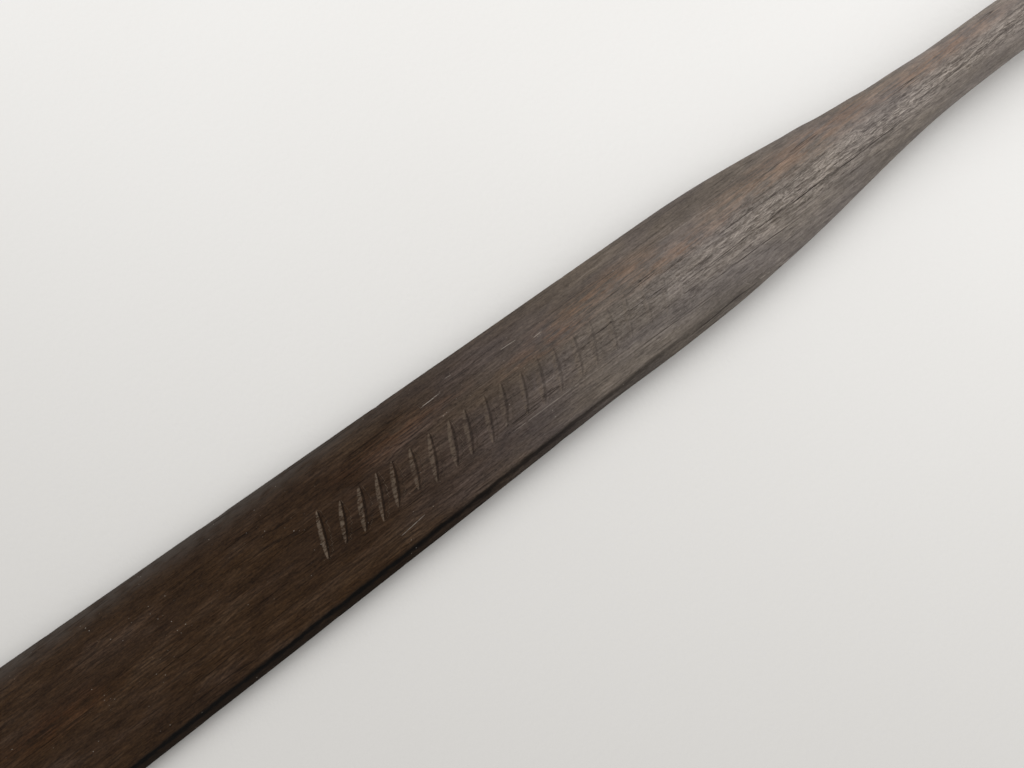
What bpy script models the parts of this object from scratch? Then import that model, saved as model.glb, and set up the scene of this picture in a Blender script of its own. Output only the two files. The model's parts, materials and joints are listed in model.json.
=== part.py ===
"""A traditional wooden boat oar, leathered and copper-tipped, lying at rest on a flat surface.

One timber makes the handle, the loom and the blade. A leather sleeve is tacked round the loom where the
rowlock bears, a strip of leather wound over it makes the button, and a folded copper sheet guards the
blade's tip. Everything is modelled along the oar's own axis: x = 0 is the button's outboard face, +x runs
to the blade's tip, and z is square to the blade. The empty oar_axis then lays the whole oar down.
"""

import math

import bmesh
import bpy
from mathutils import Matrix, Vector

# Driving dimensions, in metres

FIT_GAP = 0.0003            # between pieces that seat on each other

NECK_X = 1.006              # button's face to the neck, where the blade starts
INBOARD = 0.854             # button's face to the end of the handle

GRIP_LENGTH = 0.140
GRIP_RADIUS = 0.0185
GRIP_SWELL = 0.0012         # how much fuller the grip is at its middle
GRIP_END_ROUND = 0.007
GRIP_SHOULDER = 0.060       # from the grip up to the full loom

LOOM_RADIUS = 0.028
NECK_RADIUS = 0.0255        # where the loom meets the blade

BLADE_LENGTH = 1.190        # neck to tip
SHOULDER_LENGTH = 0.337     # over which the round loom becomes the flat blade
SHOULDER_WIDTH = 0.108      # blade's width at the end of that
TIP_WIDTH = 0.146
TIP_CORNER = 0.030
TIP_DEPTH = 0.0140          # blade's thickness at the tip, on the spine
EDGE_DEPTH = 0.0105         # blade's thickness beside the edge bevels
RIM_DEPTH = 0.0045          # thickness left at the very edge
BEVEL_WIDTH = 0.0075        # of the bevels along the blade's edges
SPINE_FADE = 2.1            # how early the spine sinks into the blade
SPINE_SHARPNESS = 1.4       # how narrow the spine stands on the blade

SLEEVE_INBOARD = 0.060      # sleeve's reach inboard of the button's face
SLEEVE_OUTBOARD = 0.240
SLEEVE_LEATHER = 0.0030
SEAM_GAP = 0.0012           # between the butted edges of the sleeve
SEAT_MARGIN = 0.020         # straight loom left beyond each end of the sleeve

BUTTON_WIDTH = 0.034
BUTTON_LEATHER = 0.0040
BUTTON_TURNS = 3
BUTTON_SKIVE = 0.7          # radians over which each end of the strip is pared thin
SKIVED_LEATHER = 0.0010
BUTTON_TAIL_ANGLE = 0.0     # where the strip starts and ends, round the oar from +y

BAND_LENGTH = 0.065
BAND_COPPER = 0.0009

TACK_HEAD_RADIUS = 0.0036
TACK_HEAD_HEIGHT = 0.0013
TACK_SHANK_RADIUS = 0.0011
HEAD_RIM = 0.3              # share of a head's height that its rim stands up
SHANK_STRAIGHT = 0.55       # share of a shank's length before it tapers to its point
SLEEVE_TACK_LENGTH = 0.012
BUTTON_TACK_LENGTH = 0.020
SEAM_TACKS = 6              # along each side of the seam
SEAM_TACK_OFFSET = 0.0085   # from the seam, round the sleeve
END_TACKS = 5               # round each end of the sleeve
END_TACK_CLEAR = 0.0425     # from the seam to the first of them, round the sleeve
END_TACK_INSET = 0.009
BUTTON_TACK_PAIRS = 4       # round the button, clear of the pared ends
BUTTON_TACK_INSET = 0.009
TACK_CLEAR = 0.0105         # from a tack to the edge or the step beside it

NAIL_HEAD_RADIUS = 0.0027
NAIL_HEAD_HEIGHT = 0.0008
NAIL_SHANK_RADIUS = 0.0009
NAIL_LENGTH = 0.0070
NAIL_INSET = 0.010          # from the band's edge
TOP_NAILS = 6
UNDER_NAILS = 5
NAIL_SIDE_MARGIN = 0.007    # from the last nail to the edge bevel

# Facets

QUARTER_FACETS = 8          # of a timber section
SLEEVE_FACETS = 48
TURN_FACETS = 36            # of each turn of the button
TACK_FACETS = 8
HEAD_FACETS = 3             # of a fastener's head, from its middle to its rim
GRIP_ROUND_FACETS = 4       # of the handle's rounded end
TIP_CORNER_FACETS = 6
SHARP_EDGE = math.radians(35)

# Worked-out places

OUTBOARD = NECK_X + BLADE_LENGTH
SLEEVE_INNER = LOOM_RADIUS + FIT_GAP
SLEEVE_OUTER = SLEEVE_INNER + SLEEVE_LEATHER
BUTTON_INNER = SLEEVE_OUTER + FIT_GAP
BAND_INNER = FIT_GAP
BAND_OUTER = FIT_GAP + BAND_COPPER
CUT_PAST = 0.002            # how far a cutter reaches past what it cuts
WELD = 0.00001


def lerp(a, b, t):
    return a + (b - a) * t


def smooth(t):
    """Eases from 0 to 1 with level ends."""
    t = min(max(t, 0.0), 1.0)
    return t * t * (3 - 2 * t)


def evenly(start, stop, count):
    """count + 1 values from start to stop."""
    return [lerp(start, stop, i / count) for i in range(count + 1)]


# The timber's form

def loom_radius(x):
    """Radius of the round part: grip, loom, straight seat for the leather, and the taper to the neck."""
    grip_end = GRIP_LENGTH - INBOARD
    if x < grip_end + GRIP_SHOULDER:
        along = (x + INBOARD) / GRIP_LENGTH
        swell = GRIP_SWELL * math.sin(math.pi * min(along, 1.0))
        grip = GRIP_RADIUS + swell
        cut = max(GRIP_END_ROUND - (x + INBOARD), 0.0)
        grip -= GRIP_END_ROUND - math.sqrt(max(GRIP_END_ROUND ** 2 - cut ** 2, 0.0))
        return lerp(grip, LOOM_RADIUS, smooth((x - grip_end) / GRIP_SHOULDER))
    seat_end = SLEEVE_OUTBOARD + SEAT_MARGIN
    return lerp(LOOM_RADIUS, NECK_RADIUS, max((x - seat_end) / (NECK_X - seat_end), 0.0))


def flatness(x):
    """0 where the section is round, 1 where it is a plank."""
    return smooth((x - NECK_X) / SHOULDER_LENGTH)


def half_width(x, grow=0.0):
    """Half the plan width at x, of the timber or of a layer that stands out from it by grow."""
    if x <= NECK_X:
        return loom_radius(x) + grow
    shoulder_end = NECK_X + SHOULDER_LENGTH
    taper = (x - shoulder_end) / (OUTBOARD - shoulder_end)
    blade = lerp(SHOULDER_WIDTH, TIP_WIDTH, taper) / 2
    wide = lerp(NECK_RADIUS, blade, flatness(x)) + grow
    corner = TIP_CORNER + grow
    into = max(x - (OUTBOARD + grow - corner), 0.0)
    return wide - corner + math.sqrt(max(corner ** 2 - into ** 2, 0.0))


def half_depth(x):
    """Half the thickness at x, measured on the spine."""
    if x <= NECK_X:
        return loom_radius(x)
    left = max(1 - (x - NECK_X) / BLADE_LENGTH, 0.0)
    return lerp(TIP_DEPTH / 2, NECK_RADIUS, left ** SPINE_FADE)


def plank_height(x, across, grow=0.0):
    """Height of the blade's face at a share across its half width: edge bevel, flat and spine."""
    rim, edge, spine = RIM_DEPTH / 2 + grow, EDGE_DEPTH / 2 + grow, half_depth(x) + grow
    bevel = min((1 - abs(across)) * half_width(x, grow) / BEVEL_WIDTH, 1.0)
    return lerp(rim, edge, bevel) + (spine - edge) * max(1 - across ** 2, 0.0) ** SPINE_SHARPNESS


def quarter_point(x, step, grow=0.0):
    """(y, z) of the section at x, from the edge at step 0 to the top of the spine at QUARTER_FACETS."""
    angle = math.pi / 2 * step / QUARTER_FACETS
    arris = 1 - BEVEL_WIDTH / half_width(x, grow)
    across = 1.0 if step < 2 else arris * (QUARTER_FACETS - step) / (QUARTER_FACETS - 2)
    height = plank_height(x, across, grow) if step else 0.0
    flat, wide = flatness(x), half_width(x, grow)
    y = wide * lerp(math.cos(angle), across, flat)
    z = lerp((half_depth(x) + grow) * math.sin(angle), height, flat)
    return y, z


def section(x, grow=0.0):
    """The closed ring of points round the timber, or round a layer that stands out from it, at x."""
    quarter = [quarter_point(x, step, grow) for step in range(QUARTER_FACETS + 1)]
    top = quarter + [(-y, z) for y, z in reversed(quarter[:-1])]
    under = [(y, -z) for y, z in reversed(top[1:-1])]
    return [Vector((x, y, z)) for y, z in top + under]


def tip_stations(grow):
    """x values that follow the rounded tip corner up to the end of the blade."""
    corner = TIP_CORNER + grow
    turns = evenly(0.0, math.pi / 2, TIP_CORNER_FACETS)
    return [OUTBOARD + grow - corner + corner * math.sin(turn) for turn in turns]


def timber_stations():
    """x values of the timber's sections, close together where its form changes."""
    round_turns = evenly(0.0, math.pi / 2, GRIP_ROUND_FACETS)
    grip_round = [GRIP_END_ROUND * (1 - math.cos(turn)) - INBOARD for turn in round_turns]
    grip_end = GRIP_LENGTH - INBOARD
    seat = (-SLEEVE_INBOARD - SEAT_MARGIN, SLEEVE_OUTBOARD + SEAT_MARGIN)
    shoulder_end = NECK_X + SHOULDER_LENGTH
    stretches = (
        (grip_round[-1], grip_end, 5),
        (grip_end, grip_end + GRIP_SHOULDER, 6),
        (grip_end + GRIP_SHOULDER, seat[0], 3),
        (seat[0], seat[1], 2),
        (seat[1], NECK_X, 4),
        (NECK_X, shoulder_end, 12),
        (shoulder_end, OUTBOARD - TIP_CORNER, 8),
    )
    between = [x for start, stop, count in stretches for x in evenly(start, stop, count)[1:]]
    return grip_round + between + tip_stations(0.0)[1:]


# Building pieces

def clear_scene():
    for obj in list(bpy.data.objects):
        bpy.data.objects.remove(obj, do_unlink=True)


def make_collection(name):
    collection = bpy.data.collections.new(name)
    bpy.context.scene.collection.children.link(collection)
    return collection


def make_material(name, colour, roughness, metallic=0.0):
    material = bpy.data.materials.new(name)
    material.use_nodes = True
    shader = material.node_tree.nodes["Principled BSDF"]
    shader.inputs["Base Color"].default_value = (*colour, 1.0)
    shader.inputs["Roughness"].default_value = roughness
    shader.inputs["Metallic"].default_value = metallic
    return material


def add_object(name, data, collection, material=None, parent=None):
    obj = bpy.data.objects.new(name, data)
    collection.objects.link(obj)
    obj.parent = parent
    if material:
        data.materials.clear()
        data.materials.append(material)
    return obj


def loft(name, stations, grow=0.0):
    """A closed mesh through the timber's sections at these x values."""
    mesh = bpy.data.meshes.new(name)
    bm = bmesh.new()
    rings = [[bm.verts.new(point) for point in section(x, grow)] for x in stations]
    for ring, following in zip(rings, rings[1:]):
        for i, corner in enumerate(ring):
            j = (i + 1) % len(ring)
            bm.faces.new((corner, ring[j], following[j], following[i]))
    bm.faces.new(rings[0])
    bm.faces.new(rings[-1])
    bmesh.ops.remove_doubles(bm, verts=bm.verts, dist=WELD)
    bmesh.ops.recalc_face_normals(bm, faces=bm.faces)
    bm.to_mesh(mesh)
    bm.free()
    smooth_shade(mesh)
    return mesh


def smooth_shade(mesh):
    mesh.shade_smooth()
    mesh.set_sharp_from_angle(angle=SHARP_EDGE)


def baked_mesh(name, data, set_up=None):
    """The closed mesh that an object of this data makes, with any modifiers that set_up gives it."""
    maker = bpy.data.objects.new(name, data)
    bpy.context.scene.collection.objects.link(maker)
    if set_up:
        set_up(maker)
    graph = bpy.context.evaluated_depsgraph_get()
    mesh = bpy.data.meshes.new_from_object(maker.evaluated_get(graph))
    bpy.data.objects.remove(maker, do_unlink=True)
    bm = bmesh.new()
    bm.from_mesh(mesh)
    bmesh.ops.remove_doubles(bm, verts=bm.verts, dist=WELD)
    bmesh.ops.recalc_face_normals(bm, faces=bm.faces)
    bm.to_mesh(mesh)
    bm.free()
    smooth_shade(mesh)
    return mesh


def turn_about_z(obj):
    screw = obj.modifiers.new("turn", "SCREW")
    screw.axis = "Z"
    screw.steps = TACK_FACETS
    screw.render_steps = TACK_FACETS
    screw.use_merge_vertices = True
    screw.merge_threshold = WELD


def turned_mesh(name, profile):
    """A closed mesh turned about z from (radius, height) points that run from the top to the bottom."""
    line = bpy.data.meshes.new(name)
    points = [(radius, 0.0, height) for radius, height in profile]
    line.from_pydata(points, [(i, i + 1) for i in range(len(points) - 1)], [])
    return baked_mesh(name, line, turn_about_z)


def tack_profile(head_radius, head_height, shank_radius, length):
    """A low domed head standing on z = 0 and a shank that tapers to a point below it."""
    dome = [(head_radius * math.sin(turn), head_height * lerp(HEAD_RIM, 1.0, math.cos(turn)))
            for turn in evenly(0.0, math.pi / 2, HEAD_FACETS)]
    under_head = [(head_radius, 0.0), (shank_radius, 0.0)]
    point = [(shank_radius, -SHANK_STRAIGHT * length), (0.0, -length)]
    return dome + under_head + point


def hole_profile(shank_radius, length):
    """The straight hole that a tack's shank stands in, open past the head."""
    radius = shank_radius + FIT_GAP
    return [(0.0, CUT_PAST), (radius, CUT_PAST), (radius, -length - FIT_GAP), (0.0, -length - FIT_GAP)]


def cut_by(obj, cutters, label):
    cut = obj.modifiers.new(label, "BOOLEAN")
    cut.operation = "DIFFERENCE"
    cut.operand_type = "COLLECTION"
    cut.collection = cutters
    cut.solver = "EXACT"


def hide_cutter(obj):
    obj.hide_render = True
    obj.display_type = "WIRE"


def round_spot(x, angle, radius):
    """(place, turn) of a fastener that points at the loom's axis from that radius."""
    place = Vector((x, radius * math.cos(angle), radius * math.sin(angle)))
    return place, (angle - math.pi / 2, 0.0, 0.0)


# The leather

def sleeve_object(collection, material, parent):
    """An open tube of leather whose edges butt along a seam on the top of the loom."""
    seam = SEAM_GAP / SLEEVE_INNER
    start = Vector((0.0, math.sin(seam / 2), math.cos(seam / 2))) * SLEEVE_INNER
    mesh = bpy.data.meshes.new("leather_sleeve")
    ends = [start + Vector((x, 0.0, 0.0)) for x in (-SLEEVE_INBOARD, SLEEVE_OUTBOARD)]
    mesh.from_pydata(ends, [(0, 1)], [])
    sleeve = add_object("leather_sleeve", mesh, collection, material, parent)
    screw = sleeve.modifiers.new("wrap", "SCREW")
    screw.axis = "X"
    screw.angle = seam - math.tau
    screw.steps = SLEEVE_FACETS
    screw.render_steps = SLEEVE_FACETS
    screw.use_merge_vertices = False
    screw.use_smooth_shade = True
    wall = sleeve.modifiers.new("leather", "SOLIDIFY")
    wall.thickness = SLEEVE_LEATHER
    wall.offset = 1.0
    wall.use_even_offset = True
    return sleeve


def strip_thickness(turn):
    """The button strip's thickness at an angle along it, pared down towards both ends."""
    pared = min(turn, math.tau * BUTTON_TURNS - turn) / BUTTON_SKIVE
    return lerp(SKIVED_LEATHER, BUTTON_LEATHER, min(max(pared, 0.0), 1.0))


def strip_inner(turn):
    """Radius of the strip's inner face: on the sleeve for the first turn, then on the turn below."""
    below = turn - math.tau
    if below < 0:
        return BUTTON_INNER
    return strip_inner(below) + strip_thickness(below) + FIT_GAP


def button_radius(angle):
    """Radius of the finished button at an angle round the oar."""
    turn = (angle - BUTTON_TAIL_ANGLE) % math.tau + math.tau * (BUTTON_TURNS - 1)
    return strip_inner(turn) + strip_thickness(turn)


def button_outline():
    """(y, z) of the wound strip seen along the oar: out along its inner face, back along its outer face."""
    turns = [math.tau * i / TURN_FACETS for i in range(TURN_FACETS * BUTTON_TURNS + 1)]
    inner = [(strip_inner(turn), turn) for turn in turns]
    outer = [(strip_inner(turn) + strip_thickness(turn), turn) for turn in reversed(turns)]
    return [(radius * math.cos(BUTTON_TAIL_ANGLE + turn), radius * math.sin(BUTTON_TAIL_ANGLE + turn))
            for radius, turn in inner + outer]


def button_mesh():
    """The wound strip, as a flat outline drawn out along the oar from the button's outboard face."""
    outline = button_outline()
    curve = bpy.data.curves.new("button_strip", "CURVE")
    curve.dimensions = "2D"
    curve.fill_mode = "BOTH"
    curve.extrude = BUTTON_WIDTH / 2
    spline = curve.splines.new("POLY")
    spline.points.add(len(outline) - 1)
    for point, (y, z) in zip(spline.points, outline):
        point.co = (y, z, 0.0, 1.0)
    spline.use_cyclic_u = True
    mesh = baked_mesh("button_strip", curve)
    along_oar = Matrix(((0, 0, 1, -BUTTON_WIDTH / 2), (1, 0, 0, 0), (0, 1, 0, 0), (0, 0, 0, 1)))
    mesh.transform(along_oar)
    return mesh


# Where the fasteners stand

def sleeve_tack_spots():
    """Names, places and turns of the tacks along the seam and round both ends of the sleeve."""
    spots = []
    outboard_row = SLEEVE_OUTBOARD - END_TACK_INSET
    inboard_row = END_TACK_INSET - SLEEVE_INBOARD
    head = SLEEVE_OUTER + FIT_GAP
    for side, lean in (("left", 1), ("right", -1)):
        angle = math.pi / 2 + lean * SEAM_TACK_OFFSET / SLEEVE_OUTER
        for i, x in enumerate(evenly(TACK_CLEAR, outboard_row, SEAM_TACKS - 1)):
            spots.append((f"seam_tack_{side}_{i + 1}", *round_spot(x, angle, head)))
    clear = END_TACK_CLEAR / SLEEVE_OUTER
    angles = evenly(math.pi / 2 + clear, math.pi / 2 + math.tau - clear, END_TACKS - 1)
    for end, x in (("inboard", inboard_row), ("outboard", outboard_row)):
        for i, angle in enumerate(angles):
            spots.append((f"{end}_tack_{i + 1}", *round_spot(x, angle, head)))
    return spots


def button_tack_spots():
    """Names, places and turns of the pairs of tacks that hold the wound strip."""
    spots = []
    clear = BUTTON_SKIVE + TACK_CLEAR / BUTTON_INNER / 2
    first, last = BUTTON_TAIL_ANGLE + clear, BUTTON_TAIL_ANGLE + math.tau - clear
    for i, angle in enumerate(evenly(first, last, BUTTON_TACK_PAIRS - 1)):
        head = button_radius(angle) + FIT_GAP
        for side, x in (("outboard", -BUTTON_TACK_INSET), ("inboard", BUTTON_TACK_INSET - BUTTON_WIDTH)):
            spots.append((f"button_tack_{side}_{i + 1}", *round_spot(x, angle, head)))
    return spots


def tip_nail_spots():
    """Names, places and turns of the nails through the copper, those of the two faces out of step."""
    spots = []
    x = OUTBOARD - BAND_LENGTH + NAIL_INSET
    wide = half_width(x)
    reach = wide - BEVEL_WIDTH - NAIL_SIDE_MARGIN
    under_reach = reach * (TOP_NAILS - 2) / (TOP_NAILS - 1)
    faces = (("top", 1, reach, TOP_NAILS), ("under", -1, under_reach, UNDER_NAILS))
    for face, way, furthest, count in faces:
        turn = (0.0 if way > 0 else math.pi, 0.0, 0.0)
        for i, y in enumerate(evenly(-furthest, furthest, count - 1)):
            head = plank_height(x, y / wide) + BAND_OUTER + FIT_GAP
            spots.append((f"tip_nail_{face}_{i + 1}", Vector((x, y, way * head)), turn))
    return spots


def rest_pose():
    """(angle, height) that lay the oar's axis down so that button and tip both touch z = 0."""
    button_drop = max(-z for _, z in button_outline())
    tip_end = (OUTBOARD + BAND_OUTER, TIP_DEPTH / 2 + BAND_OUTER)
    nails = [(place.x, NAIL_HEAD_HEIGHT - place.z) for _, place, _ in tip_nail_spots()]
    angle = min(math.atan2(button_drop - drop, x) for x, drop in [tip_end, *nails])
    return angle, button_drop * math.cos(angle)


def fasten(spots, profile, hole, material, collection, cutters, parent):
    """A fastener, and the cutter of its hole, at every spot."""
    mesh = turned_mesh("fastener", profile)
    hole_mesh = turned_mesh("fastener_hole", hole)
    for name, place, turn in spots:
        for label, data, into in ((name, mesh, collection), (f"{name}_hole", hole_mesh, cutters)):
            piece = add_object(label, data, into, material, parent)
            piece.location = place
            piece.rotation_euler = turn
            if into is cutters:
                hide_cutter(piece)


def main():
    clear_scene()
    pieces = make_collection("pieces")
    tack_holes = make_collection("tack_holes")
    nail_holes = make_collection("nail_holes")
    shells = make_collection("shells")

    wood = make_material("dark_weathered_wood", (0.075, 0.052, 0.037), 0.6)
    sleeve_leather = make_material("sleeve_leather", (0.10, 0.045, 0.022), 0.55)
    button_leather = make_material("button_leather", (0.085, 0.036, 0.018), 0.5)
    sheet_copper = make_material("sheet_copper", (0.50, 0.25, 0.16), 0.4, 1.0)
    tack_copper = make_material("tack_copper", (0.55, 0.29, 0.17), 0.35, 1.0)
    nail_copper = make_material("nail_copper", (0.46, 0.22, 0.13), 0.4, 1.0)

    axis = add_object("oar_axis", None, pieces)
    timber = add_object("oar_timber", loft("oar_timber", timber_stations()), pieces, wood, axis)
    sleeve = sleeve_object(pieces, sleeve_leather, axis)
    button = add_object("button_strip", button_mesh(), pieces, button_leather, axis)

    band_start = OUTBOARD - BAND_LENGTH
    band_run = [band_start, *tip_stations(BAND_OUTER)]
    band = add_object("tip_band", loft("tip_band", band_run, BAND_OUTER), pieces, sheet_copper, axis)
    hollow_run = [band_start - CUT_PAST, *tip_stations(BAND_INNER)]
    hollow = add_object("tip_hollow", loft("tip_hollow", hollow_run, BAND_INNER), shells, None, axis)
    hide_cutter(hollow)
    cut_by(band, shells, "hollow")

    sleeve_tack = (TACK_HEAD_RADIUS, TACK_HEAD_HEIGHT, TACK_SHANK_RADIUS, SLEEVE_TACK_LENGTH)
    button_tack = (TACK_HEAD_RADIUS, TACK_HEAD_HEIGHT, TACK_SHANK_RADIUS, BUTTON_TACK_LENGTH)
    nail = (NAIL_HEAD_RADIUS, NAIL_HEAD_HEIGHT, NAIL_SHANK_RADIUS, NAIL_LENGTH)
    for spots, sizes, metal, holes in (
        (sleeve_tack_spots(), sleeve_tack, tack_copper, tack_holes),
        (button_tack_spots(), button_tack, tack_copper, tack_holes),
        (tip_nail_spots(), nail, nail_copper, nail_holes),
    ):
        fasten(spots, tack_profile(*sizes), hole_profile(*sizes[2:]), metal, pieces, holes, axis)

    for piece in (timber, sleeve, button):
        cut_by(piece, tack_holes, "tack_holes")
    for piece in (timber, band):
        cut_by(piece, nail_holes, "nail_holes")

    angle, height = rest_pose()
    middle = (OUTBOARD + BAND_OUTER - INBOARD) / 2
    axis.rotation_euler = (0.0, angle, 0.0)
    axis.location = (-middle * math.cos(angle), 0.0, height)


main()
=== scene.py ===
"""The looks of the boat oar: weathered carved timber, oiled leather and aged copper, lying on a pale floor.

Every piece is modelled along the oar's own axis, as the solids are: x = 0 is the button's outboard face, +x
runs to the blade's tip, and z is square to the blade. The record's rowlock seat then lays the pieces on the
frame.
"""

import itertools
import json
import math

import bpy
import numpy as np
from mathutils import Matrix, Vector


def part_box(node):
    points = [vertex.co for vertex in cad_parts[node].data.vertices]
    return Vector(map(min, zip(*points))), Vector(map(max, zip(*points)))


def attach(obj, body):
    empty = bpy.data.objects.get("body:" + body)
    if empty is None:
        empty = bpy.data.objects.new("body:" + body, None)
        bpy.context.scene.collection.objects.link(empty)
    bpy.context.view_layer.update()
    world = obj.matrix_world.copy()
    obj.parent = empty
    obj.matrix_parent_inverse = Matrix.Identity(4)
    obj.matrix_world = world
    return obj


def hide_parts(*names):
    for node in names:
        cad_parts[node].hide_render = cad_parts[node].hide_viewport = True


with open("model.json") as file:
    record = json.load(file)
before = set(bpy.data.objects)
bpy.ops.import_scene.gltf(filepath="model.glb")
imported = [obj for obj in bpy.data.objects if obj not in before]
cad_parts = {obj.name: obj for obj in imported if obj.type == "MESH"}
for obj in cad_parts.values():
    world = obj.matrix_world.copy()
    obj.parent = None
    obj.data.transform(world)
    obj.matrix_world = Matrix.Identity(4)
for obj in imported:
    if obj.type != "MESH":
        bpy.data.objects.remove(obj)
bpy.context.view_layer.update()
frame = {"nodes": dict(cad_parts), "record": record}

# Sizes of the solids, in metres

FIT_GAP = 0.0003
NECK_X = 1.006
INBOARD = 0.854
GRIP_LENGTH = 0.140
GRIP_RADIUS = 0.0185
GRIP_SWELL = 0.0012
GRIP_END_ROUND = 0.007
GRIP_SHOULDER = 0.060
LOOM_RADIUS = 0.028
NECK_RADIUS = 0.0255
BLADE_LENGTH = 1.190
SHOULDER_LENGTH = 0.337
SHOULDER_WIDTH = 0.108
TIP_WIDTH = 0.146
TIP_CORNER = 0.030
TIP_DEPTH = 0.0140
EDGE_DEPTH = 0.0105
RIM_DEPTH = 0.0045
BEVEL_WIDTH = 0.0075
SPINE_FADE = 2.1
SPINE_SHARPNESS = 1.4
SLEEVE_INBOARD = 0.060
SLEEVE_OUTBOARD = 0.240
SLEEVE_LEATHER = 0.0030
SEAM_GAP = 0.0012
SEAT_MARGIN = 0.020
BUTTON_WIDTH = 0.034
BUTTON_LEATHER = 0.0040
BUTTON_TURNS = 3
BUTTON_SKIVE = 0.7
SKIVED_LEATHER = 0.0010
BAND_LENGTH = 0.065
BAND_COPPER = 0.0009
TACK_HEAD_RADIUS = 0.0036
TACK_HEAD_HEIGHT = 0.0013
TACK_SHANK_RADIUS = 0.0011
NAIL_HEAD_RADIUS = 0.0027
NAIL_HEAD_HEIGHT = 0.0008
NAIL_SHANK_RADIUS = 0.0009

OUTBOARD = NECK_X + BLADE_LENGTH
SHOULDER_END = NECK_X + SHOULDER_LENGTH
SEAT_END = SLEEVE_OUTBOARD + SEAT_MARGIN
SLEEVE_INNER = LOOM_RADIUS + FIT_GAP
SLEEVE_OUTER = SLEEVE_INNER + SLEEVE_LEATHER
BUTTON_INNER = SLEEVE_OUTER + FIT_GAP
BAND_OUTER = FIT_GAP + BAND_COPPER

# The camera and the light

CAMERA_AIM = (0.8611, -0.00622, 0.020)
CAMERA_DISTANCE = 0.76506
CAMERA_TILT = math.radians(10.0)        # off the vertical, towards the picture's bottom
CAMERA_ROLL = math.radians(36.68767)    # of the oar in the picture
CAMERA_LENS = 31.2                      # mm, on a sensor 36 mm wide
CAMERA_NEAR = 0.01

HORIZON_LIGHT = 0.42
ZENITH_LIGHT = 0.90
BACKDROP_LIGHT = 0.86
SKY_COLOUR = (1.0, 0.995, 0.985, 1.0)
KEY_STRENGTH = 0.95
KEY_FROM = (0.12, -0.62, 1.0)
KEY_SOFTNESS = math.radians(60)
FLOOR_REACH = 30.0
FLOOR_DROP = 0.0002
# Painted shade on the floor: the way it deepens, over what spread, and its colour
FLOOR_SHADE_TOWARDS = (0.774, 0.633, 0.0)      # towards the bottom of the picture and a little to its left
FLOOR_SHADE_SPREAD = 0.60                    # over this far to both sides of where the camera aims
FLOOR_PALE = (0.915, 0.903, 0.884), (0.940, 0.931, 0.915)
FLOOR_SHADE_COLOUR = (0.615, 0.601, 0.580)


# Numbers in arrays

def lerp(a, b, t):
    return a + (b - a) * t


def unit(t):
    """Cut off below 0 and above 1."""
    return np.clip(t, 0.0, 1.0)


def smooth(t):
    """Eases from 0 to 1 with level ends."""
    t = unit(t)
    return t * t * (3 - 2 * t)


def spot(x, y, centre, reach):
    """1 at the centre, falling to 0 at the reach along x and y."""
    away = ((x - centre[0]) / reach[0]) ** 2 + ((y - centre[1]) / reach[1]) ** 2
    return unit(1 - away) ** 2


def stretch(x, middle, reach):
    """1 at the middle of a stretch along x, falling to 0 at its reach."""
    return spot(x, 0.0, (middle, 0.0), (reach, 1.0))


def grown(x, start, run):
    """0 before the start, easing to 1 over the run, which is negative towards the handle."""
    return smooth((x - start) / run)


HASH_STEPS = np.array((73856093, 19349663, 83492791))
HASH_BITS = 2 ** 32 - 1


def cell_value(cells, seed):
    """A repeatable value from -1 to 1 for each whole-number cell."""
    mixed = (cells @ HASH_STEPS + seed * 1013904223) & HASH_BITS
    for shift, factor in ((15, 1274126177), (13, 1911520717)):
        mixed = ((mixed ^ (mixed >> shift)) * factor) & HASH_BITS
    return (mixed ^ (mixed >> 16)) / 2 ** 31 - 1


def noise(points, cells_per_metre, seed, octaves=1):
    """Smooth repeatable noise, about -1 to 1, at each point."""
    total = np.zeros(points.shape[:-1])
    for octave in range(octaves):
        place = points * (np.array(cells_per_metre) * 2 ** octave)
        cell = np.floor(place).astype(np.int64)
        within = smooth(place - cell)
        for corner in itertools.product((0, 1), repeat=3):
            weight = np.prod(np.where(corner, within, 1 - within), axis=-1)
            total += weight * cell_value(cell + corner, seed + octave) / 2 ** octave
    return total


# The timber's form, as in the solids

def loom_radius(x):
    from_end = x + INBOARD
    grip = GRIP_RADIUS + GRIP_SWELL * np.sin(np.pi * unit(from_end / GRIP_LENGTH))
    cut = np.clip(GRIP_END_ROUND - from_end, 0.0, GRIP_END_ROUND)
    grip = grip - GRIP_END_ROUND + np.sqrt(GRIP_END_ROUND ** 2 - cut ** 2)
    loom = lerp(grip, LOOM_RADIUS, smooth((from_end - GRIP_LENGTH) / GRIP_SHOULDER))
    return lerp(loom, NECK_RADIUS, unit((x - SEAT_END) / (NECK_X - SEAT_END)))


def flatness(x):
    """0 where the section is round, 1 where it is a plank."""
    return smooth((x - NECK_X) / SHOULDER_LENGTH)


def half_width(x, grow=0.0):
    taper = (x - SHOULDER_END) / (OUTBOARD - SHOULDER_END)
    blade = lerp(SHOULDER_WIDTH, TIP_WIDTH, taper) / 2
    wide = lerp(loom_radius(x), blade, flatness(x)) + grow
    corner = TIP_CORNER + grow
    into = np.clip(x - (OUTBOARD + grow - corner), 0.0, corner)
    return wide - corner + np.sqrt(corner ** 2 - into ** 2)


def half_depth(x):
    left = unit(1 - (x - NECK_X) / BLADE_LENGTH)
    blade = lerp(TIP_DEPTH / 2, NECK_RADIUS, left ** SPINE_FADE)
    return np.where(x <= NECK_X, loom_radius(x), blade)


def face_height(x, across, grow=0.0):
    """Height of the blade's face at a share across its half width: edge bevel, flat and spine."""
    rim, edge, spine = RIM_DEPTH / 2 + grow, EDGE_DEPTH / 2 + grow, half_depth(x) + grow
    bevel = unit((1 - np.abs(across)) * half_width(x, grow) / BEVEL_WIDTH)
    return lerp(rim, edge, bevel) + (spine - edge) * unit(1 - across ** 2) ** SPINE_SHARPNESS


RIM_STEP, ARRIS_STEP, SPINE_STEP = 1.0, 2.0, 8.0
BLADE_BEGINS = 0.10         # how far past the neck a section counts fully as blade


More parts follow.
